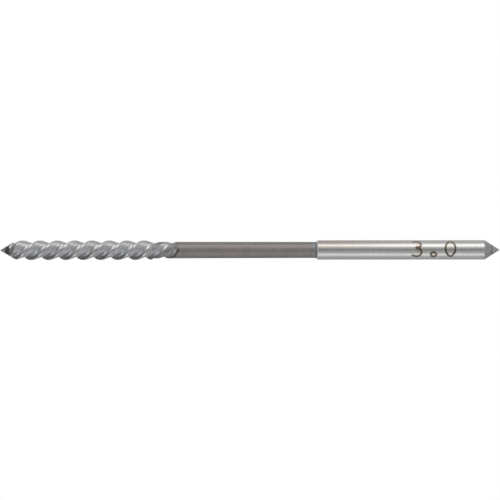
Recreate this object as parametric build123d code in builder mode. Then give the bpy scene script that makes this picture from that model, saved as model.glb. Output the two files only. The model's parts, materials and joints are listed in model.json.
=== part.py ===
"""Spiral flute reamer: one ground bar of high speed steel with three left-hand spiral flutes.

The axis lies along X, the cutting end towards -X and the shank towards +X. The origin is on the axis,
halfway along the ground shank. Angles round the axis run from +Y towards +Z. All sizes are millimetres.
"""

from build123d import *
from math import acos, cos, degrees, radians, sin, tan
import os

# Diameters, how far the neck is ground below the teeth and how much more it loses towards the shank
cutting_diameter = 3.0
shank_diameter = 3.0
neck_relief = 0.22
neck_taper = 0.04

# Lengths along the axis, from the front end to the back
cutting_length = 23.22
neck_length = 25.42
shoulder_length = 0.3
shank_length = 25.68

# The pointed ends are male centres, each with its very tip taken off
front_centre_angle = 60.0
back_centre_angle = 64.0
tip_diameter = 0.10

# The front centre stops at a small step, and the teeth begin there with a tapered lead
point_length = 1.34
point_step = 0.06
lead_angle = 55.0

# The spiral: every tooth makes one left-hand turn in the length of the lead
tooth_count = 3
flute_lead = 8.03
front_edge_angle = 117.5

# One tooth, seen along the axis, going round from its cutting edge
margin_width = 0.36
relief_angle = 17.0
land_share = 0.56
heel_depth = 0.42

# The floor of a flute: how far it leans towards the heel, where its hollow begins and how deep it ends
floor_lean = 20.0
hollow_share = 0.75
root_depth = 0.48

# Behind the cutting length the teeth are bevelled down to the neck
bevel_angle = 30.0

# The flutes run on into the neck, where the grinding wheel lifts out of the bar
flute_overrun = 3.48
lift_length = 0.95
lift_height = 0.50
lift_direction = 57.0
lift_steps = 6

cutting_radius = cutting_diameter / 2
neck_radius = cutting_radius - neck_relief
shank_radius = shank_diameter / 2
tip_radius = tip_diameter / 2
clear_radius = cutting_radius + neck_relief
tooth_pitch = 360 / tooth_count


def cone_length(small_radius, large_radius, half_angle):
    """Length along the axis in which a cone grows from one radius to another."""
    return (large_radius - small_radius) / tan(radians(half_angle))


def polar(radius, angle):
    """The point of a section at a radius and at an angle in degrees."""
    return Vector(radius * cos(radians(angle)), radius * sin(radians(angle)))


front_x = -(shank_length / 2 + shoulder_length + neck_length + cutting_length)
point_end_x = front_x + point_length
point_radius = tip_radius + point_length * tan(radians(front_centre_angle / 2))
lead_radius = point_radius + point_step
lead_clear_x = point_end_x + cone_length(lead_radius, clear_radius, lead_angle / 2)
cutting_end_x = front_x + cutting_length
bevel_clear_x = cutting_end_x - cone_length(cutting_radius, clear_radius, bevel_angle)
bevel_end_x = cutting_end_x + cone_length(neck_radius, cutting_radius, bevel_angle)
lift_start_x = cutting_end_x + flute_overrun
neck_end_x = cutting_end_x + neck_length
shank_start_x = neck_end_x + shoulder_length
shank_end_x = shank_start_x + shank_length
back_x = shank_end_x + cone_length(tip_radius, shank_radius, back_centre_angle / 2)


def edge_angle(x):
    """Where the cutting edge of the first tooth stands at a place along the axis."""
    return front_edge_angle - 360 * (x - front_x) / flute_lead


def spiral(start_x, end_x):
    """The straight path along the axis and the helix that turns a section with the teeth."""
    path = Line((start_x, 0, 0), (end_x, 0, 0), mode=Mode.PRIVATE)
    guide = Helix(
        pitch=flute_lead,
        height=end_x - start_x,
        radius=cutting_radius,
        center=(start_x, 0, 0),
        direction=(1, 0, 0),
        lefthand=True,
        mode=Mode.PRIVATE,
    )
    return path, guide


# The back of a tooth is an arc that leaves the margin at the relief angle and ends at the heel
margin_angle = degrees(margin_width / cutting_radius)
margin_end = polar(cutting_radius, margin_angle)
margin_normal = polar(1, margin_angle + relief_angle)
heel_radius = cutting_radius - heel_depth
heel_angle = land_share * tooth_pitch
heel = polar(heel_radius, heel_angle)
back_chord = margin_end - heel
back_radius = back_chord.dot(back_chord) / (2 * margin_normal.dot(back_chord))
back_centre = margin_end - margin_normal * back_radius
heel_normal_angle = degrees(acos((heel - back_centre).X / back_radius))

# That arc goes on past the margin to a point clear of the bar, and the rake face goes as far out
back_start = back_centre + polar(back_radius, 0)
outer_radius = back_start.length
back_start_angle = -degrees(acos(back_start.X / outer_radius))
rake_top = polar(outer_radius, tooth_pitch)

# The floor starts flat at the heel and hollows out into an arc that meets the next rake face at the root
floor_angle = tooth_pitch - floor_lean
hollow_angle = hollow_share * tooth_pitch
floor_depth = heel_radius * cos(radians(floor_angle - heel_angle))
hollow_start = polar(floor_depth / cos(radians(floor_angle - hollow_angle)), hollow_angle)
root = polar(cutting_radius - root_depth, tooth_pitch)

# What one flute cuts away: the back of a tooth, the flute's floor and the radial rake face of the next
with BuildSketch() as flute:
    with BuildLine():
        Line(heel, hollow_start)
        TangentArc(hollow_start, root, tangent=hollow_start - heel)
        Line(root, rake_top)
        ThreePointArc(rake_top, polar(outer_radius, (tooth_pitch + back_start_angle) / 2), back_start)
        ThreePointArc(back_start, back_centre + polar(back_radius, heel_normal_angle / 2), heel)
    make_face()

with BuildSketch() as tooth_section:
    Circle(cutting_radius)
    with PolarLocations(0, tooth_count):
        add(flute.sketch, mode=Mode.SUBTRACT)

with BuildSketch() as neck_section:
    Circle(neck_radius)
    with PolarLocations(0, tooth_count):
        add(flute.sketch, mode=Mode.SUBTRACT)

# The teeth, pointed by the front centre and bevelled down to the neck
with BuildPart() as teeth:
    with BuildSketch(Plane.YZ.offset(front_x)):
        add(tooth_section.sketch, rotation=edge_angle(front_x))
    path, guide = spiral(front_x, bevel_end_x)
    sweep(path=path, binormal=guide)
    with BuildSketch(Plane.XZ):
        with BuildLine():
            Polyline(
                (front_x, 0),
                (front_x, tip_radius),
                (point_end_x, point_radius),
                (point_end_x, lead_radius),
                (lead_clear_x, clear_radius),
                (bevel_clear_x, clear_radius),
                (bevel_end_x, neck_radius),
                (bevel_end_x, 0),
                close=True,
            )
        make_face()
    revolve(axis=Axis.X, mode=Mode.INTERSECT)

# The fluted front of the neck
with BuildPart() as fluted_neck:
    with BuildSketch(Plane.YZ.offset(bevel_end_x)):
        add(neck_section.sketch, rotation=edge_angle(bevel_end_x))
    path, guide = spiral(bevel_end_x, lift_start_x)
    sweep(path=path, binormal=guide)

# The end of one flute: the same outline goes on turning with the helix and lifts along a curve
with BuildPart() as run_out:
    for step in range(lift_steps + 1):
        share = step / lift_steps
        x = lift_start_x + share * lift_length
        with BuildSketch(Plane.YZ.offset(x)):
            with Locations(Rotation(0, 0, edge_angle(x))):
                with Locations(polar(share**2 * lift_height, lift_direction)):
                    add(flute.sketch)
    loft()

# The whole reamer: the turned neck, shoulder, shank and back centre, joined to the fluted front
with BuildPart() as reamer:
    with BuildSketch(Plane.XZ):
        with BuildLine():
            Polyline(
                (lift_start_x, 0),
                (lift_start_x, neck_radius),
                (neck_end_x, neck_radius - neck_taper),
                (shank_start_x, shank_radius),
                (shank_end_x, shank_radius),
                (back_x, tip_radius),
                (back_x, 0),
                close=True,
            )
        make_face()
    revolve(axis=Axis.X)
    for tooth in range(tooth_count):
        add(run_out.part, rotation=(tooth * tooth_pitch, 0, 0), mode=Mode.SUBTRACT)
    add(fluted_neck.part)
    add(teeth.part)

os.makedirs("parts", exist_ok=True)
reamer.part.label = "reamer"
export_step(reamer.part, "parts/reamer.step")
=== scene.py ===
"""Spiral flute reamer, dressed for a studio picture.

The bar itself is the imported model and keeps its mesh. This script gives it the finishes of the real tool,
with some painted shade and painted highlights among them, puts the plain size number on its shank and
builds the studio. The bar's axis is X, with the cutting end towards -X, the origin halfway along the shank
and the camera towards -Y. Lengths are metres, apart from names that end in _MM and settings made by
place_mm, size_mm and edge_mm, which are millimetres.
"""

import json
import math
from typing import NamedTuple

import bmesh
import bpy
from bpy.props import FloatProperty, FloatVectorProperty, IntProperty, PointerProperty
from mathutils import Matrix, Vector


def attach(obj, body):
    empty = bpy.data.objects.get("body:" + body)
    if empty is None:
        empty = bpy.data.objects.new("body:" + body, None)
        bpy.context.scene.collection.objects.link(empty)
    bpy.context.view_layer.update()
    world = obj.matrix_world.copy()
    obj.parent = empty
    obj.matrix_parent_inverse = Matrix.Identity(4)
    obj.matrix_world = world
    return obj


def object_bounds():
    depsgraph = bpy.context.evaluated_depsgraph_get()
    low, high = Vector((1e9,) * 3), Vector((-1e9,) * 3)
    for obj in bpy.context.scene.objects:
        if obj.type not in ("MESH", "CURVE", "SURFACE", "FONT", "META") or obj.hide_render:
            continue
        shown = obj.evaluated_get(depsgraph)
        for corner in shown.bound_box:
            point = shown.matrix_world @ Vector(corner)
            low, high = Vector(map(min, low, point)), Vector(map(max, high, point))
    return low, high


bl_info = {
    "name": "Spiral Flute Reamer",
    "version": (1, 0, 0),
    "blender": (4, 5, 0),
    "location": "View3D > Sidebar > Reamer",
    "description": "Finishes, size mark and studio for a spiral flute reamer",
    "category": "Object",
}

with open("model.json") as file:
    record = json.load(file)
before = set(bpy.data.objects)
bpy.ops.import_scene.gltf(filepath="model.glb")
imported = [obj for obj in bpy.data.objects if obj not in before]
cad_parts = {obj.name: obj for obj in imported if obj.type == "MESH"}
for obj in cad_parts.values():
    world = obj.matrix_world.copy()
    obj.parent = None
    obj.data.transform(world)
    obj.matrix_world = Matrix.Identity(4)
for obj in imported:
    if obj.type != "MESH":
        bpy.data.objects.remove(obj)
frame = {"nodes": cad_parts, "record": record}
CAD_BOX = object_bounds()
BAR = frame["nodes"]["reamer"]
SHANK = frame["record"]["mounts"][0]["dims"]

MM = 0.001
FRONT_MM = CAD_BOX[0].x / MM
SHANK_RADIUS_MM = SHANK["r_mm"]
SHANK_END_MM = SHANK["length_mm"] / 2

# The number's strokes: divisions of a bend, points of an oval, and the gap that is closed as a seam
BEND_DIVISIONS = 16
OVAL_POINTS = 8
SEAM_MM = 0.0005

# The camera: its sensor, and the least and the greatest distance at which it sees, in metres
SENSOR_WIDTH_MM = 36.0
NEAREST = 0.01
FARTHEST = 20.0

WHITE = (1.0, 1.0, 1.0, 1.0)


class Grain(NamedTuple):
    """A noise: its scale per millimetre, its detail and roughness, and how each axis is squeezed for it."""

    scale: float
    detail: float
    roughness: float
    squeeze: tuple = (1.0, 1.0, 1.0)


class Texture(NamedTuple):
    """What a grain does to a finish: a factor of light and dark, and a relief in millimetres."""

    light: bpy.types.NodeSocket
    relief: bpy.types.NodeSocket


# Wheel marks run along each flute once the spiral is unwound, and rings run round the bar
WHEEL_MARKS = Grain(1.6, 4.0, 0.65, (0.35, 6.0, 6.0))
SPECKLE = Grain(4.2, 4.0, 0.7)
MOTTLE = Grain(1.1, 3.0, 0.6)
FINE_GRAIN = Grain(9.0, 3.0, 0.6)
GROUND_RINGS = Grain(14.0, 3.0, 0.7, (1.0, 0.1, 0.1))
TURNED_RINGS = Grain(6.0, 3.0, 0.7, (1.0, 0.15, 0.15))
BLOTCHES = Grain(0.45, 2.0, 0.5)
THIN_PLACES = Grain(2.6, 3.0, 0.6)

# The values of a noise at which it begins and at which it has its whole effect
TONE_RANGE = (0.3, 0.7)
GLOSS_RANGE = (0.25, 0.75)
BLOTCH_RANGE = (0.5, 0.68)
THIN_RANGE = (0.35, 0.7)


def place_mm(name, description, default):
    """A place along the bar, in millimetres from the middle of the shank."""
    return FloatProperty(name=name, description=description, default=default, precision=3)


def size_mm(name, description, default):
    """A length in millimetres."""
    return FloatProperty(name=name, description=description, default=default, min=0.0, precision=4)


def edge_mm(name, change, default):
    """How soft an edge between two finishes is, in millimetres."""
    return size_mm(name, f"Half the length over which {change}", default)


def metres(name, description, default):
    """A length or a place in the studio, in metres."""
    return FloatProperty(name=name, description=description, default=default, unit="LENGTH", precision=5)


def turn(name, description, degrees):
    """An angle, whose default is given in degrees."""
    return FloatProperty(name=name, description=description, default=math.radians(degrees), subtype="ANGLE")


def share(name, description, default):
    """A number from nought to one."""
    return FloatProperty(
        name=name, description=description, default=default, min=0.0, max=1.0, subtype="FACTOR"
    )


def count(name, description, default):
    """A whole number."""
    return IntProperty(name=name, description=description, default=default, min=0)


def strength(name, description, default):
    """The brightness of a lamp's face, where one is that of a white sheet in full light."""
    return FloatProperty(name=name, description=description, default=default, min=0.0)


def colour(name, description, default):
    """A colour of a finish or of a light."""
    return FloatVectorProperty(
        name=name, description=description, default=default, size=3, min=0.0, max=1.0, subtype="COLOR"
    )


class ReamerFinish(bpy.types.PropertyGroup):
    """Where each finish of the bar begins and ends, and its colour, roughness and grain. Some of these
    finishes are painted shade, a painted reflection and painted highlights.
    """

    tint_start: place_mm("Heat tint", "Where the dark heat tint of the front tip begins", FRONT_MM + 0.74)
    tint_end: place_mm("Tint end", "Where that tint ends, just past the unfluted point", FRONT_MM + 1.42)
    lead_end: place_mm("Lead end", "Where the duller finish of the lead ends", FRONT_MM + 2.15)
    bevel_end: place_mm("Bevel end", "Where the bevel behind the teeth meets the neck", FRONT_MM + 23.60)
    # Painted shade at the ends of the flutes: from the first place the flute floors are coloured greyer, and
    # from the second darker
    run_out: place_mm("Run-out", "Where the ends of the flutes turn greyer", FRONT_MM + 26.2)
    wall: place_mm("Wall", "Where the wheel left the flutes", FRONT_MM + 27.05)
    dull_start: place_mm("Dull start", "Where the lands begin to turn as dull as the neck", FRONT_MM + 25.6)
    dull_end: place_mm("Dull end", "Where they have the whole finish of the neck", FRONT_MM + 27.0)
    shoulder: place_mm("Shoulder", "Where the chamfer between neck and shank begins", -SHANK_END_MM - 0.3)
    shank_start: place_mm("Shank start", "Where the finish of the shank begins", -SHANK_END_MM + 0.015)
    # Painted highlight: a warmer, dimmer highlight on the upper side of the shank fades out towards here
    straw_end: place_mm("Straw end", "Where the shank's straw tint has faded out", 0.2 * SHANK_END_MM)
    centre_start: place_mm("Centre start", "Where the finish of the back centre begins", SHANK_END_MM - 0.07)
    facing_line: place_mm("Facing line", "Dark turned line round the back centre", SHANK_END_MM + 1.13)

    # Painted reflection: a cooler band at the end of the neck stands for the light from a small step there
    rim: size_mm("Rim", "Length of the cooler end of the neck", 0.56)
    # Painted shade: a dark line round the foot of the chamfer, which reaches a little way up it
    collar: size_mm("Collar", "Length of the dark line before the foot of the chamfer", 0.10)
    collar_rise: size_mm("Collar rise", "How far that line reaches up the chamfer", 0.11)
    end_rings: size_mm("End rings", "Length of the shank's back end that shows its rings", 0.7)
    clear_rings: size_mm("Clear rings", "Length of it that shows them most clearly", 0.42)
    facing_width: size_mm("Facing width", "Width of the facing line", 0.10)
    # Painted highlight: the warmer, dimmer highlight is full above this height
    straw_height: size_mm("Straw height", "Height over the axis from which the straw tint is full", 0.5)
    flute_lead: size_mm("Flute lead", "Length in which a tooth makes one left-hand turn", 8.03)
    neck_radius: size_mm("Neck radius", "Least radius of the turned neck", 1.24)
    cut_depth: size_mm("Cut depth", "Depth below that radius at which a land gives way to a flute", 0.0185)

    tint_edge: edge_mm("Tint edge", "the heat tint begins", 0.06)
    tint_end_edge: edge_mm("Tint end edge", "the heat tint ends", 0.03)
    lead_edge: edge_mm("Lead edge", "the lead's finish passes into the flutes'", 0.12)
    land_edge: edge_mm("Land edge", "the finish of the lands begins, before the bevel's end", 0.125)
    cut_edge: edge_mm("Cut edge", "a land gives way to a flute", 0.0065)
    # Soft edges of the painted shade at the ends of the flutes
    run_out_edge: edge_mm("Run-out edge", "the ends of the flutes turn greyer", 0.3)
    wall_edge: edge_mm("Wall edge", "they turn dark", 0.25)
    # Soft edge of the painted reflection at the end of the neck
    rim_edge: edge_mm("Rim edge", "the cooler end of the neck begins", 0.05)
    # Soft edge of the painted shade line at the foot of the chamfer
    collar_edge: edge_mm("Collar edge", "the dark line begins", 0.04)
    # Soft edge of the painted highlight on the chamfer
    chamfer_edge: edge_mm("Chamfer edge", "the bright part of the chamfer begins", 0.03)
    shank_edge: edge_mm("Shank edge", "the finish of the shank begins", 0.025)
    centre_edge: edge_mm("Centre edge", "the finish of the back centre begins", 0.02)
    facing_edge: edge_mm("Facing edge", "the facing line begins and ends", 0.03)

    tip_colour: colour("Tip", "Bare steel of the very tip", (0.60, 0.59, 0.59))
    tint_colour: colour("Heat tint", "Dark heat tint behind the tip", (0.19, 0.18, 0.175))
    lead_colour: colour("Lead", "Duller steel of the fluted front centre", (0.54, 0.54, 0.54))
    flute_colour: colour("Flutes", "Ground steel of the teeth and flutes", (0.555, 0.556, 0.565))
    # Colours of the painted shade at the ends of the flutes, greyer and then darker
    run_out_colour: colour("Run-out", "Greyer steel where the flutes end", (0.40, 0.395, 0.385))
    wall_colour: colour("Wall", "Darker steel where the wheel left a flute", (0.26, 0.257, 0.25))
    land_colour: colour("Lands", "Grey steel of the neck between the flutes", (0.355, 0.348, 0.355))
    neck_colour: colour("Neck", "Dull, faintly reddish steel of the neck", (0.35, 0.328, 0.322))
    blotch_colour: colour("Blotches", "Redder steel in places on the neck", (0.362, 0.313, 0.307))
    # Colour of the painted reflection at the end of the neck
    rim_colour: colour("Rim", "Cooler steel at the end of the neck", (0.35, 0.35, 0.367))
    # Colour of the painted shade line at the foot of the chamfer
    collar_colour: colour("Collar", "Dark line round the foot of the chamfer", (0.26, 0.26, 0.27))
    # Painted highlight: the chamfer is coloured far brighter than the shank's steel
    chamfer_colour: colour("Chamfer", "Bright steel of the chamfer", (0.92, 0.92, 0.93))
    shank_colour: colour("Shank", "Bright ground steel of the shank", (0.645, 0.635, 0.625))
    # Painted highlight: the warmer, dimmer colour of the shank's upper side towards the neck
    straw_colour: colour("Straw tint", "Warmer steel of the shank towards the neck", (0.56, 0.512, 0.478))
    centre_colour: colour("Back centre", "Matte turned steel of the back centre", (0.43, 0.43, 0.435))

    point_roughness: share("Point roughness", "Roughness of the front tip", 0.50)
    flute_roughness: share("Flute roughness", "Roughness of the ground flutes", 0.39)
    neck_roughness: share("Neck roughness", "Roughness of the neck", 0.60)
    chamfer_roughness: share("Chamfer roughness", "Roughness of the chamfer", 0.62)
    shank_roughness: share("Shank roughness", "Roughness of the ground shank", 0.385)
    centre_roughness: share("Centre roughness", "Roughness of the back centre", 0.48)
    roughness_spread: share("Roughness spread", "How far each roughness goes up and down", 0.05)

    flute_grain: size_mm("Flute grain", "Depth of the grinding marks in the flutes", 0.006)
    neck_grain: size_mm("Neck grain", "Depth of the grain of the neck", 0.004)
    shank_grain: size_mm("Shank grain", "Depth of the ground rings of the shank", 0.0015)
    centre_grain: size_mm("Centre grain", "Depth of the turned rings of the back centre", 0.01)

    streak_contrast: share("Streak contrast", "How much the wheel's marks lighten and darken a flute", 0.19)
    speckle_contrast: share("Speckle contrast", "How much the specks between those marks do so", 0.15)
    mottle_contrast: share("Mottle contrast", "How much the large patches of the neck differ", 0.065)
    neck_contrast: share("Neck contrast", "How much the small specks of the neck differ", 0.05)
    blotch_strength: share("Blotch strength", "How far the reddest places have the redder colour", 0.6)
    ring_contrast: share("Ring contrast", "How much the ground rings of the shank differ", 0.05)
    end_contrast: share("End contrast", "How much its rings differ at the back end", 0.10)
    centre_contrast: share("Centre contrast", "How much the back centre's rings and specks differ", 0.3)
    facing_light: share("Facing light", "How light the facing line is beside the rest", 0.3)


class ReamerMark(bpy.types.PropertyGroup):
    """The plain size number on the shank."""

    start: place_mm("Start", "Left edge of the first numeral, from the middle of the shank", 1.58)
    centre_angle: turn("Centre angle", "Middle of the numerals above the side that faces the camera", 8.8)
    height: size_mm("Height", "Height of a numeral round the shank", 2.54)
    width: size_mm("Width", "Width of a numeral along the shank", 1.52)
    point_width: size_mm("Point width", "Width of the ring that stands for the decimal point", 0.86)
    point_height: size_mm("Point height", "Height of that ring", 0.74)
    point_drop: size_mm("Point drop", "How far that ring reaches below the numerals", 0.06)
    gap: size_mm("Gap", "Space between one character and the next", 1.41)
    fullness: share("Fullness", "How full the ovals are, from a diamond at 0.71 to an oval at 1", 0.93)

    stroke: size_mm("Stroke", "Width of a stroke", 0.31)
    sunk: size_mm("Sunk", "How far a stroke reaches into the shank", 0.03)
    rise: size_mm("Rise", "How far a stroke stands over the shank", 0.002)
    step: size_mm("Step", "Length of one piece of a stroke", 0.06)
    cuts: count("Cuts", "Cuts across a stroke, which let it bend round the shank", 3)

    tint: colour("Tint", "Burnt brown of the etched strokes", (0.095, 0.074, 0.06))
    light_tint: colour("Light tint", "Thinner brown of their light places", (0.27, 0.216, 0.175))
    fade_start: size_mm("Fade start", "Height over the axis at which the strokes begin to be lighter", 0.25)
    fade_end: size_mm("Fade end", "Height over the axis from which they are all light", 0.75)
    roughness: share("Roughness", "Roughness of the strokes", 0.5)
    light_roughness: share("Light roughness", "Roughness of their light patches", 0.42)

    halo_tint: colour("Halo", "Straw tint that the heat left inside a character", (0.58, 0.50, 0.43))
    halo_radius: size_mm("Halo radius", "How far that tint reaches from its middle", 0.62)
    halo_core: share("Halo core", "Share of that radius over which it is full", 0.5)
    halo_squeeze: share("Halo squeeze", "What a length round the shank counts beside one along it", 0.6)
    halo_shift: size_mm("Halo shift", "How far the first halo lies behind the middle of its numeral", 0.2)
    three_halo: share("Halo of the three", "Strength of the tint inside the three", 0.8)
    ring_halo: share("Halo of the ring", "Strength of the tint inside the ring", 0.45)
    zero_halo: share("Halo of the zero", "Strength of the tint inside the zero", 0.25)


class ReamerStudio(bpy.types.PropertyGroup):
    """Camera, lamps, cards, floor and backdrop."""

    view_angle: turn("View angle", "Width of the camera's view", 8.0)
    picture_width: metres("Picture width", "Width of the picture at the bar", 0.07708)
    picture_margin: metres("Picture margin", "Room left free before the front tip", 0.00005)
    camera_rise: metres("Camera rise", "Camera above the bar's axis", 0.00001)
    camera_roll: turn("Camera roll", "How far the camera leans, so that the bar rises to the right", 0.053)

    lamp_distance: metres("Lamp distance", "Lamps from the bar", 0.6)
    lamp_width: metres("Lamp width", "Lamps across the bar", 0.26)
    key_angle: turn("Key angle", "Key lamp above the camera", 56.0)
    key_left: metres("Key left", "Left end of the key lamp", -0.22)
    key_right: metres("Key right", "Right end of the key lamp", 0.26)
    key_brightness: strength("Key brightness", "Brightness of the key lamp", 2.0)
    key_colour: colour("Key colour", "Faintly warm light of the key lamp", (1.0, 0.97, 0.932))
    fill_angle: turn("Fill angle", "Fill lamp above the camera, below it where negative", -58.0)
    fill_left: metres("Fill left", "Left end of the fill lamp", -0.165)
    fill_right: metres("Fill right", "Right end of the fill lamp", 0.165)
    fill_brightness: strength("Fill brightness", "Brightness of the fill lamp", 1.15)
    fill_colour: colour("Fill colour", "White light of the fill lamp", (1.0, 1.0, 1.0))
    room_brightness: share("Room brightness", "Plain light from the whole room", 0.58)
    room_colour: colour("Room colour", "Faintly cool light of the room", (0.97, 0.988, 1.0))

    floor_drop: metres("Floor drop", "Floor below the held bar", 0.65)
    floor_size: metres("Floor size", "Side of the floor", 6.0)
    floor_tint: colour("Floor", "Matte white of the floor and the sheet behind", (0.86, 0.86, 0.86))
    backdrop_distance: metres("Backdrop distance", "White sheet behind the bar", 0.9)
    backdrop_size: metres("Backdrop size", "Side of the white sheet", 0.8)
    card_distance: metres("Card distance", "Dark card behind the camera", 0.75)
    card_height: metres("Card height", "Height of that card", 0.28)
    card_rise: metres("Card rise", "Middle of that card above the bar", 0.04)
    card_width: metres("Card width", "Width of that card", 0.5)
    card_tint: colour("Card", "Colour of that card", (0.03, 0.032, 0.036))
    side_distance: metres("Side distance", "Grey card beyond the front tip", 0.6)
    side_front: metres("Side front", "Front edge of that card, before the bar where negative", -0.6)
    side_back: metres("Side back", "Back edge of that card, behind the bar", 0.6)
    side_height: metres("Side height", "Height of that card", 1.2)
    side_tint: colour("Side card", "Colour of that card", (0.34, 0.34, 0.34))


class Graph:
    """Short calls that add nodes to one tree and link them."""

    def __init__(self, tree):
        self.tree = tree

    def node(self, kind, inputs=(), **settings):
        """One node, with its settings made and each given input linked or set."""
        made = self.tree.nodes.new(kind)
        for name, value in settings.items():
            setattr(made, name, value)
        for name, value in dict(inputs).items():
            self.feed(made.inputs[name], value)
        return made

    def feed(self, socket, value):
        """Links another node's output to a socket, or sets the socket's own value."""
        if isinstance(value, bpy.types.NodeSocket):
            self.tree.links.new(value, socket)
        else:
            socket.default_value = value

    def math(self, operation, first, second=0.0, third=0.0):
        """The result of one sum."""
        return self.node("ShaderNodeMath", {0: first, 1: second, 2: third}, operation=operation).outputs[0]

    def times(self, first, second):
        """The product of two numbers."""
        return self.math("MULTIPLY", first, second)

    def ease(self, value, start, end, low=0.0, high=1.0):
        """A number that goes smoothly from low to high while a value goes from start to end."""
        inputs = {"Value": value, "From Min": start, "From Max": end, "To Min": low, "To Max": high}
        return self.node("ShaderNodeMapRange", inputs, interpolation_type="SMOOTHSTEP").outputs["Result"]

    def past(self, value, place, soft):
        """Nought before a place and one past it, with a soft edge."""
        return self.ease(value, place - soft, place + soft)

    def band(self, value, middle, width, soft):
        """One within a band and nought outside it, with soft edges."""
        rise = self.past(value, middle - width / 2, soft)
        fall = self.past(value, middle + width / 2, soft)
        return self.times(rise, self.math("SUBTRACT", 1.0, fall))

    def blend(self, factor, first, second):
        """A colour between two. The colour sockets of a Mix node have no names of their own."""
        made = self.node("ShaderNodeMix", {"Factor": factor, 6: first, 7: second}, data_type="RGBA")
        return made.outputs[2]

    def level(self, factor, first, second):
        """A number between two. The number sockets of a Mix node have no names of their own."""
        made = self.node("ShaderNodeMix", {"Factor": factor, 2: first, 3: second}, data_type="FLOAT")
        return made.outputs[0]

    def stretch(self, vector, scale):
        """A place with each of its parts scaled."""
        return self.node("ShaderNodeVectorMath", {0: vector, 1: scale}, operation="MULTIPLY").outputs[0]

    def place(self):
        """The surface's own place on its piece, in millimetres."""
        return self.stretch(self.node("ShaderNodeTexCoord").outputs["Object"], (1 / MM,) * 3)

    def parts(self, vector):
        """The X, Y and Z of a vector."""
        return self.node("ShaderNodeSeparateXYZ", {0: vector}).outputs

    def vector(self, x, y, z):
        """A vector from its three parts."""
        return self.node("ShaderNodeCombineXYZ", {"X": x, "Y": y, "Z": z}).outputs[0]

    def length(self, first, second):
        """The long side of a right-angled triangle with these two short sides."""
        squares = self.math("ADD", self.times(first, first), self.times(second, second))
        return self.math("SQRT", squares)

    def noise(self, place, grain):
        """A grain at a place, from nought to one."""
        squeezed = self.stretch(place, grain.squeeze)
        inputs = {
            "Vector": squeezed,
            "Scale": grain.scale,
            "Detail": grain.detail,
            "Roughness": grain.roughness,
        }
        return self.node("ShaderNodeTexNoise", inputs).outputs["Fac"]

    def ripple(self, noise, contrast):
        """A factor about one that goes up and down with a noise."""
        return self.math("MULTIPLY_ADD", self.ease(noise, *TONE_RANGE, -1.0, 1.0), contrast, 1.0)

    def ripples(self, first, second):
        """The product of two such factors, each given as its noise and its contrast."""
        return self.times(self.ripple(*first), self.ripple(*second))

    def surface(self, shader):
        """Gives a material its shader."""
        self.node("ShaderNodeOutputMaterial", {"Surface": shader.outputs[0]})


def opaque(rgb):
    """A colour property as the four numbers that a socket takes."""
    return (*rgb, 1.0)


def new_material(name):
    """An empty node material and its graph."""
    material = bpy.data.materials.new(name)
    material.use_nodes = True
    material.node_tree.nodes.clear()
    return material, Graph(material.node_tree)


def character_middles(mark):
    """Where the middle of each character stands along the shank, in millimetres."""
    three = mark.start + mark.width / 2
    ring = mark.start + mark.width + mark.gap + mark.point_width / 2
    zero = ring + mark.point_width / 2 + mark.gap + mark.width / 2
    return three, ring, zero


def ring_middle(mark):
    """Where the ring stands round the shank, in millimetres from the middle of the numerals."""
    return (mark.point_height - mark.height) / 2 - mark.point_drop


def neck_tone(graph, place, finish):
    """The colour of the neck, which is redder in places."""
    red = graph.ease(graph.noise(place, BLOTCHES), *BLOTCH_RANGE, 0.0, finish.blotch_strength)
    return graph.blend(red, opaque(finish.neck_colour), opaque(finish.blotch_colour))


def shank_tone(graph, place, finish, mark):
    """The colour of the shank: a warmer, dimmer highlight painted on its upper side towards the neck, and
    the straw tint of the heat inside the characters of the number.
    """
    x, y, z = graph.parts(place)
    # Painted highlight: warmer and dimmer on the upper side towards the neck, where the key lamp's highlight
    # lies
    left = graph.ease(x, -SHANK_END_MM, finish.straw_end, 1.0, 0.0)
    painted_warmth = graph.times(left, graph.ease(z, 0.0, finish.straw_height))
    tone = graph.blend(painted_warmth, opaque(finish.shank_colour), opaque(finish.straw_colour))
    angle = graph.math("ARCTAN2", z, graph.times(y, -1.0))
    around = graph.times(graph.math("SUBTRACT", angle, mark.centre_angle), SHANK_RADIUS_MM)

    # Each halo: its middle along and round the shank, and how strong it is
    three, ring, zero = character_middles(mark)
    halos = (
        (three + mark.halo_shift, 0.0, mark.three_halo),
        (ring, ring_middle(mark), mark.ring_halo),
        (zero, 0.0, mark.zero_halo),
    )
    for along, up, most in halos:
        rise = graph.times(graph.math("SUBTRACT", around, up), mark.halo_squeeze)
        away = graph.length(graph.math("SUBTRACT", x, along), rise)
        halo = graph.ease(away, mark.halo_core * mark.halo_radius, mark.halo_radius, most, 0.0)
        tone = graph.blend(halo, tone, opaque(mark.halo_tint))
    return tone


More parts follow.
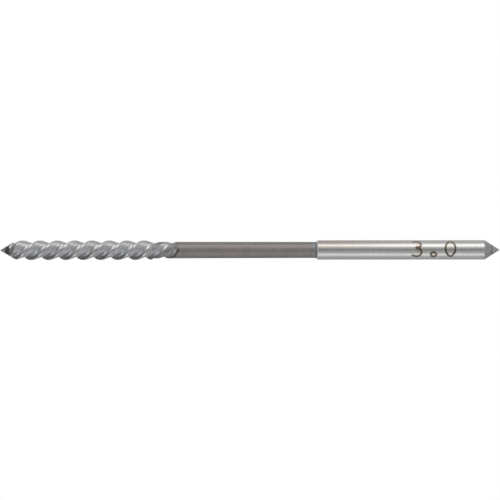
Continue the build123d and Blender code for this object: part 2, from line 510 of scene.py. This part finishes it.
def bar_textures(graph, place, fine, finish):
    """The five textures of the bar: its point, its flutes, its neck, its shank and its back centre."""
    x = graph.parts(place)["X"]

    # The teeth unwound: the bar turned back by the spiral, so that a pattern runs along each flute
    twist = graph.times(x, 2 * math.pi / finish.flute_lead)
    unwound = graph.node("ShaderNodeVectorRotate", {"Vector": place, "Angle": twist}, rotation_type="X_AXIS")
    wheel_marks = graph.noise(unwound.outputs[0], WHEEL_MARKS)
    speckle = graph.noise(place, SPECKLE)
    mottle = graph.noise(place, MOTTLE)
    rings = graph.noise(place, GROUND_RINGS)
    turned = graph.noise(place, TURNED_RINGS)

    # Light and dark: streaks in the flutes, patches on the neck, rings on the shank and on its back end
    streaks = graph.ripples((wheel_marks, finish.streak_contrast), (speckle, finish.speckle_contrast))
    patches = graph.ripples((mottle, finish.mottle_contrast), (speckle, finish.neck_contrast))
    near_end = graph.ease(x, SHANK_END_MM - finish.end_rings, SHANK_END_MM - finish.clear_rings)
    lines = graph.ripple(turned, graph.level(near_end, finish.ring_contrast, finish.end_contrast))
    facing_line = graph.band(x, finish.facing_line, finish.facing_width, finish.facing_edge)
    facing = graph.ripples((turned, finish.centre_contrast), (speckle, finish.centre_contrast))
    facing = graph.times(facing, graph.level(facing_line, 1.0, finish.facing_light))

    return (
        Texture(streaks, graph.times(fine, finish.flute_grain)),
        Texture(streaks, graph.times(wheel_marks, finish.flute_grain)),
        Texture(patches, graph.times(fine, finish.neck_grain)),
        Texture(lines, graph.times(rings, finish.shank_grain)),
        Texture(facing, graph.times(turned, finish.centre_grain)),
    )


def ground_steel(finish, mark):
    """The finishes of the whole bar, one after another along X, in one material, with painted shade at the
    ends of the flutes and at the foot of the chamfer, a painted reflection at the end of the neck, and
    painted highlights on the chamfer and the shank.
    """
    material, graph = new_material("ground_steel")
    place = graph.place()
    x, y, z = graph.parts(place)
    fine = graph.noise(place, FINE_GRAIN)
    matte, wheel_cut, dull, ground, faced = bar_textures(graph, place, fine, finish)
    neck_colours = neck_tone(graph, place, finish)
    shank_colours = shank_tone(graph, place, finish, mark)

    # How much each finish, painted shade, painted reflection and painted highlight holds at a place, from
    # the front to the back
    heat_tint = graph.past(x, finish.tint_start, finish.tint_edge)
    past_tint = graph.past(x, finish.tint_end, finish.tint_end_edge)
    past_lead = graph.past(x, finish.lead_end, finish.lead_edge)
    on_skin = graph.past(graph.length(y, z), finish.neck_radius - finish.cut_depth, finish.cut_edge)
    in_flute = graph.math("SUBTRACT", 1.0, on_skin)
    # Painted shade in the ends of the flutes, greyer and then darker
    on_run_out_shade = graph.times(graph.past(x, finish.run_out, finish.run_out_edge), in_flute)
    on_wall_shade = graph.times(graph.past(x, finish.wall, finish.wall_edge), in_flute)
    on_land = graph.times(graph.past(x, finish.bevel_end - finish.land_edge, finish.land_edge), on_skin)
    on_neck = graph.times(graph.ease(x, finish.dull_start, finish.dull_end), on_skin)
    # Painted reflection: the cooler band at the end of the neck
    on_rim_reflection = graph.past(x, finish.shoulder - finish.rim, finish.rim_edge)
    # Painted shade: the dark line at the foot of the chamfer
    on_shade_line = graph.past(x, finish.shoulder - finish.collar, finish.collar_edge)
    # Painted highlight: the bright part of the chamfer
    on_chamfer_highlight = graph.past(x, finish.shoulder + finish.collar_rise, finish.chamfer_edge)
    on_shank = graph.past(x, finish.shank_start, finish.shank_edge)
    on_centre = graph.past(x, finish.centre_start, finish.centre_edge)

    # Each row: how much it holds, its colour, its roughness and its texture
    zones = (
        (heat_tint, opaque(finish.tint_colour), finish.point_roughness, matte),
        (past_tint, opaque(finish.lead_colour), finish.flute_roughness, wheel_cut),
        (past_lead, opaque(finish.flute_colour), finish.flute_roughness, wheel_cut),
        # Painted shade at the ends of the flutes, in the next two rows
        (on_run_out_shade, opaque(finish.run_out_colour), finish.flute_roughness, wheel_cut),
        (on_wall_shade, opaque(finish.wall_colour), finish.flute_roughness, wheel_cut),
        (on_land, opaque(finish.land_colour), finish.neck_roughness, dull),
        (on_neck, neck_colours, finish.neck_roughness, dull),
        # Painted reflection at the end of the neck
        (on_rim_reflection, opaque(finish.rim_colour), finish.neck_roughness, dull),
        # Painted shade at the foot of the chamfer
        (on_shade_line, opaque(finish.collar_colour), finish.neck_roughness, dull),
        # Painted highlight on the chamfer
        (on_chamfer_highlight, opaque(finish.chamfer_colour), finish.chamfer_roughness, ground),
        (on_shank, shank_colours, finish.shank_roughness, ground),
        (on_centre, opaque(finish.centre_colour), finish.centre_roughness, faced),
    )
    tone = opaque(finish.tip_colour)
    gloss = finish.point_roughness
    light, relief = matte
    for held, zone_tone, roughness, texture in zones:
        tone = graph.blend(held, tone, zone_tone)
        gloss = graph.level(held, gloss, roughness)
        light = graph.level(held, light, texture.light)
        relief = graph.level(held, relief, texture.relief)

    tone = graph.node("ShaderNodeVectorMath", {0: tone, "Scale": light}, operation="SCALE").outputs[0]
    spread = graph.ease(fine, *GLOSS_RANGE, -finish.roughness_spread, finish.roughness_spread)
    gloss = graph.math("ADD", gloss, spread)
    bump = graph.node("ShaderNodeBump", {"Strength": 1.0, "Distance": MM, "Height": relief}).outputs[0]
    finishes = {"Base Color": tone, "Metallic": 1.0, "Roughness": gloss, "Normal": bump}
    graph.surface(graph.node("ShaderNodeBsdfPrincipled", finishes))
    return material


def burnt_mark(mark):
    """Etched strokes: burnt brown steel, thinner and lighter in places, and lighter towards their top."""
    material, graph = new_material("burnt_mark")
    place = graph.place()
    patch = graph.ease(graph.noise(place, THIN_PLACES), *THIN_RANGE)
    height = graph.parts(place)["Z"]
    lightened = graph.math("MAXIMUM", patch, graph.ease(height, mark.fade_start, mark.fade_end))
    tone = graph.blend(lightened, opaque(mark.tint), opaque(mark.light_tint))
    gloss = graph.level(patch, mark.roughness, mark.light_roughness)
    finishes = {"Base Color": tone, "Metallic": 1.0, "Roughness": gloss}
    graph.surface(graph.node("ShaderNodeBsdfPrincipled", finishes))
    return material


def numeral_curve(name, mark):
    """The flat strokes of 3.0: X runs along the shank, and Y round it from the middle of the numerals."""
    curve = bpy.data.curves.new(name, "CURVE")
    curve.dimensions = "3D"
    curve.resolution_u = BEND_DIVISIONS
    half_height = mark.height * MM / 2
    half_width = mark.width * MM / 2
    three_x, ring_x, zero_x = (middle * MM for middle in character_middles(mark))

    def add_stroke(points, corners=(), closed=False):
        """One smooth stroke through its points, with a sharp corner at some of them."""
        spline = curve.splines.new("BEZIER")
        spline.bezier_points.add(len(points) - 1)
        spline.use_cyclic_u = closed
        for index, (knot, point) in enumerate(zip(spline.bezier_points, points)):
            knot.co = (*point, 0.0)
            kind = "VECTOR" if index in corners else "AUTO"
            knot.handle_left_type = kind
            knot.handle_right_type = kind

    def add_oval(centre_x, centre_y, across, up):
        """One closed oval stroke through its four ends and, a little further in, four points between."""
        points = []
        for index in range(OVAL_POINTS):
            turned = index * 2 * math.pi / OVAL_POINTS
            full = mark.fullness if index % 2 else 1.0
            x = centre_x + across * full * math.sin(turned)
            y = centre_y + up * full * math.cos(turned)
            points.append((x, y))
        add_stroke(points, closed=True)

    # The 3 in shares of its half width and half height, from its upper end round the hook to its lower end
    upper = [(-0.85, 0.85), (0.0, 1.0), (0.75, 0.66), (0.8, 0.3)]
    hook = (-0.1, 0.1)
    lower = [(0.93, -0.25), (0.84, -0.72), (0.2, -1.0), (-1.0, -0.84)]
    three = [(three_x + half_width * u, half_height * v) for u, v in (*upper, hook, *lower)]
    add_stroke(three, corners=(len(upper),))
    add_oval(ring_x, ring_middle(mark) * MM, mark.point_width * MM / 2, mark.point_height * MM / 2)
    add_oval(zero_x, 0.0, half_width, half_height)
    return curve


def wrap_tree():
    """Geometry nodes that give flat strokes a width and a depth and bend them round the shank."""
    tree = bpy.data.node_groups.new("wrap_on_shank", "GeometryNodeTree")
    face = tree.interface
    face.new_socket("Strokes", in_out="INPUT", socket_type="NodeSocketGeometry")
    for name in ("Shank Radius", "Stroke Width", "Sunk", "Rise", "Step", "Middle"):
        face.new_socket(name, in_out="INPUT", socket_type="NodeSocketFloat")
    face.new_socket("Cuts", in_out="INPUT", socket_type="NodeSocketInt")
    face.new_socket("Material", in_out="INPUT", socket_type="NodeSocketMaterial")
    face.new_socket("Mark", in_out="OUTPUT", socket_type="NodeSocketGeometry")
    graph = Graph(tree)
    given = graph.node("NodeGroupInput").outputs

    # A flat ribbon along the strokes, whose outline has extra points so that its width can bend
    steps = {"Curve": given["Strokes"], "Length": given["Step"]}
    stepped = graph.node("GeometryNodeResampleCurve", steps, mode="LENGTH")
    upright = graph.node("GeometryNodeSetCurveNormal", {"Curve": stepped.outputs[0]}, mode="Z_UP")
    thickness = graph.math("ADD", given["Sunk"], given["Rise"])
    sides = {"Width": given["Stroke Width"], "Height": thickness}
    outline = graph.node("GeometryNodeCurvePrimitiveQuadrilateral", sides)
    profile = graph.node("GeometryNodeSubdivideCurve", {"Curve": outline.outputs[0], "Cuts": given["Cuts"]})
    swept = {"Curve": upright.outputs[0], "Profile Curve": profile.outputs[0], "Fill Caps": True}
    ribbon = graph.node("GeometryNodeCurveToMesh", swept)

    # A flat point (x, y, z) goes to the angle y over the radius, z out from the middle of the stroke's depth
    flat = graph.parts(graph.node("GeometryNodeInputPosition").outputs[0])
    angle = graph.math("ADD", given["Middle"], graph.math("DIVIDE", flat["Y"], given["Shank Radius"]))
    lift = graph.times(graph.math("SUBTRACT", given["Rise"], given["Sunk"]), 0.5)
    out = graph.math("ADD", graph.math("ADD", given["Shank Radius"], lift), flat["Z"])
    towards = graph.times(graph.times(out, graph.math("COSINE", angle)), -1.0)
    up = graph.times(out, graph.math("SINE", angle))
    bends = {"Geometry": ribbon.outputs[0], "Position": graph.vector(flat["X"], towards, up)}
    bent = graph.node("GeometryNodeSetPosition", bends)

    real = graph.node("GeometryNodeRealizeInstances", {0: bent.outputs[0]})
    paint = {"Geometry": real.outputs[0], "Material": given["Material"]}
    painted = graph.node("GeometryNodeSetMaterial", paint)
    graph.node("NodeGroupOutput", {"Mark": painted.outputs[0]})
    return tree


def made_real(source, tree, values, name):
    """Runs a tree on an object once and keeps the result as a plain mesh object at the origin."""
    modifier = source.modifiers.new("nodes", "NODES")
    modifier.node_group = tree
    sockets = {item.name: item.identifier for item in tree.interface.items_tree if item.in_out == "INPUT"}
    for label, value in values.items():
        modifier[sockets[label]] = value
    evaluated = source.evaluated_get(bpy.context.evaluated_depsgraph_get())
    mesh = bpy.data.meshes.new_from_object(evaluated)
    if not mesh.polygons:
        raise RuntimeError(f"{name} came out empty")
    mesh.name = name
    source.modifiers.remove(modifier)
    bpy.data.objects.remove(source)
    piece = bpy.data.objects.new(name, mesh)
    bpy.context.scene.collection.objects.link(piece)
    return piece


def point_outwards(mesh):
    """Closes any doubled seam of a mesh and turns its faces outwards."""
    shell = bmesh.new()
    shell.from_mesh(mesh)
    bmesh.ops.remove_doubles(shell, verts=shell.verts, dist=SEAM_MM * MM)
    bmesh.ops.recalc_face_normals(shell, faces=shell.faces)
    shell.to_mesh(mesh)
    shell.free()


class REAMER_OT_finish_bar(bpy.types.Operator):
    """Gives the bar its finishes, from the heat-tinted tip to the turned back centre, with painted shade and
    painted highlights among them
    """

    bl_idname = "reamer.finish_bar"
    bl_label = "Finish the bar"

    def execute(self, context):
        steel = ground_steel(context.scene.reamer_finish, context.scene.reamer_mark)
        slots = BAR.material_slots
        if not slots:
            raise RuntimeError("the bar has no material slot")
        for slot in slots:
            slot.material = steel
        return {"FINISHED"}


class REAMER_OT_mark_size(bpy.types.Operator):
    """Puts the plain size number 3.0 on the shank, its strokes bent round it"""

    bl_idname = "reamer.mark_size"
    bl_label = "Mark the size"

    def execute(self, context):
        mark = context.scene.reamer_mark
        strokes = bpy.data.objects.new("strokes", numeral_curve("strokes", mark))
        context.scene.collection.objects.link(strokes)
        values = {
            "Shank Radius": SHANK_RADIUS_MM * MM,
            "Stroke Width": mark.stroke * MM,
            "Sunk": mark.sunk * MM,
            "Rise": mark.rise * MM,
            "Step": mark.step * MM,
            "Middle": mark.centre_angle,
            "Cuts": mark.cuts,
            "Material": burnt_mark(mark),
        }
        piece = made_real(strokes, wrap_tree(), values, "size_mark")
        point_outwards(piece.data)
        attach(piece, "root")
        return {"FINISHED"}


def stage_sheet(name, corners, material):
    """A flat four-cornered sheet of the studio."""
    mesh = bpy.data.meshes.new(name)
    mesh.from_pydata(corners, [], [(0, 1, 2, 3)])
    mesh.materials.append(material)
    made = bpy.data.objects.new(name, mesh)
    bpy.context.scene.collection.objects.link(made)
    return made


def plain_material(name, tint):
    """A matte sheet of one colour."""
    material, graph = new_material(name)
    graph.surface(graph.node("ShaderNodeBsdfDiffuse", {"Color": opaque(tint)}))
    return material


def white_sheet_material(tint):
    """A matte sheet that the camera and the steel see as plain white."""
    material, graph = new_material("white_sheet")
    ray = graph.node("ShaderNodeLightPath").outputs
    seen = graph.math("MAXIMUM", ray["Is Camera Ray"], ray["Is Glossy Ray"])
    seen = graph.math("MAXIMUM", seen, ray["Is Transmission Ray"])
    matte = graph.node("ShaderNodeBsdfDiffuse", {"Color": opaque(tint)})
    white = graph.node("ShaderNodeEmission", {"Color": WHITE, "Strength": 1.0})
    graph.surface(graph.node("ShaderNodeMixShader", {0: seen, 1: matte.outputs[0], 2: white.outputs[0]}))
    return material


def strip_lamp(name, angle, left, right, brightness, tint, studio):
    """A long soft lamp above or below the camera, which faces the bar."""
    data = bpy.data.lights.new(name, "AREA")
    data.shape = "RECTANGLE"
    data.size = right - left
    data.size_y = studio.lamp_width

    # A lamp as bright as a white sheet in full light gives pi watts for each square metre
    data.energy = brightness * math.pi * data.size * data.size_y
    data.color = tint
    lamp = bpy.data.objects.new(name, data)
    towards = Vector((0.0, -math.cos(angle), math.sin(angle)))
    lamp.location = towards * studio.lamp_distance + Vector(((left + right) / 2, 0.0, 0.0))
    lamp.rotation_euler = (math.pi / 2 - angle, 0.0, 0.0)
    lamp.visible_camera = False
    bpy.context.scene.collection.objects.link(lamp)


def light_bar(studio):
    """The key lamp above the camera and the fill lamp below it."""
    strip_lamp(
        "key_lamp",
        studio.key_angle,
        studio.key_left,
        studio.key_right,
        studio.key_brightness,
        studio.key_colour,
        studio,
    )
    strip_lamp(
        "fill_lamp",
        studio.fill_angle,
        studio.fill_left,
        studio.fill_right,
        studio.fill_brightness,
        studio.fill_colour,
        studio,
    )


def cards_and_sheets(studio):
    """The floor, the white sheet behind the bar and the two cards that only the steel shows."""
    half = studio.floor_size / 2
    down = -studio.floor_drop
    corners = [(-half, -half, down), (half, -half, down), (half, half, down), (-half, half, down)]
    stage_sheet("floor", corners, plain_material("pale_floor", studio.floor_tint))

    half = studio.backdrop_size / 2
    far = studio.backdrop_distance
    corners = [(-half, far, -half), (half, far, -half), (half, far, half), (-half, far, half)]
    stage_sheet("backdrop", corners, white_sheet_material(studio.floor_tint))

    half = studio.card_width / 2
    near = -studio.card_distance
    low = studio.card_rise - studio.card_height / 2
    high = low + studio.card_height
    corners = [(-half, near, low), (half, near, low), (half, near, high), (-half, near, high)]
    card = stage_sheet("dark_card", corners, plain_material("dark_card", studio.card_tint))
    card.visible_camera = False

    beyond = -studio.side_distance
    front = studio.side_front
    back = studio.side_back
    up = studio.side_height / 2
    corners = [(beyond, front, -up), (beyond, back, -up), (beyond, back, up), (beyond, front, up)]
    card = stage_sheet("side_card", corners, plain_material("side_card", studio.side_tint))
    card.visible_camera = False


def light_room(studio):
    """Plain light from all round."""
    world = bpy.data.worlds.new("studio_room")
    world.use_nodes = True
    room = world.node_tree.nodes["Background"]
    room.inputs["Color"].default_value = opaque(studio.room_colour)
    room.inputs["Strength"].default_value = studio.room_brightness
    bpy.context.scene.world = world


def set_camera(studio):
    """The camera in front of the bar, as far off as its narrow view needs."""
    data = bpy.data.cameras.new("camera")
    data.sensor_width = SENSOR_WIDTH_MM
    data.angle = studio.view_angle
    data.clip_start = NEAREST
    data.clip_end = FARTHEST
    camera = bpy.data.objects.new("camera", data)
    distance = studio.picture_width / 2 / math.tan(studio.view_angle / 2)
    middle = CAD_BOX[0].x - studio.picture_margin + studio.picture_width / 2
    camera.location = (middle, -distance, studio.camera_rise)
    camera.rotation_euler = (math.pi / 2, studio.camera_roll, 0.0)
    bpy.context.scene.collection.objects.link(camera)
    bpy.context.scene.camera = camera


class REAMER_OT_build_studio(bpy.types.Operator):
    """Builds the camera, two long soft lamps, a pale floor, a white sheet behind and two cards"""

    bl_idname = "reamer.build_studio"
    bl_label = "Build the studio"

    def execute(self, context):
        studio = context.scene.reamer_studio
        context.scene.view_settings.view_transform = "Standard"
        light_bar(studio)
        cards_and_sheets(studio)
        light_room(studio)
        set_camera(studio)
        return {"FINISHED"}


class REAMER_PT_panel(bpy.types.Panel):
    """Lists the steps that dress the reamer, with their settings"""

    bl_label = "Reamer"
    bl_idname = "REAMER_PT_panel"
    bl_space_type = "VIEW_3D"
    bl_region_type = "UI"
    bl_category = "Reamer"

    def draw(self, context):
        for operator, settings, kind in STEPS:
            box = self.layout.box()
            box.operator(operator.bl_idname)
            for name in kind.__annotations__:
                box.prop(getattr(context.scene, settings), name)


# Each step, the name that its settings have in the scene, and their kind
STEPS = (
    (REAMER_OT_finish_bar, "reamer_finish", ReamerFinish),
    (REAMER_OT_mark_size, "reamer_mark", ReamerMark),
    (REAMER_OT_build_studio, "reamer_studio", ReamerStudio),
)


def register():
    """Registers the steps with their settings, and the panel."""
    for operator, settings, kind in STEPS:
        bpy.utils.register_class(kind)
        setattr(bpy.types.Scene, settings, PointerProperty(type=kind))
        bpy.utils.register_class(operator)
    bpy.utils.register_class(REAMER_PT_panel)


def unregister():
    """Takes back what register made."""
    bpy.utils.unregister_class(REAMER_PT_panel)
    for operator, settings, kind in reversed(STEPS):
        bpy.utils.unregister_class(operator)
        delattr(bpy.types.Scene, settings)
        bpy.utils.unregister_class(kind)


def main():
    """Dresses the reamer."""
    register()
    bpy.ops.reamer.finish_bar()
    bpy.ops.reamer.mark_size()
    bpy.ops.reamer.build_studio()


if __name__ == "__main__":
    main()
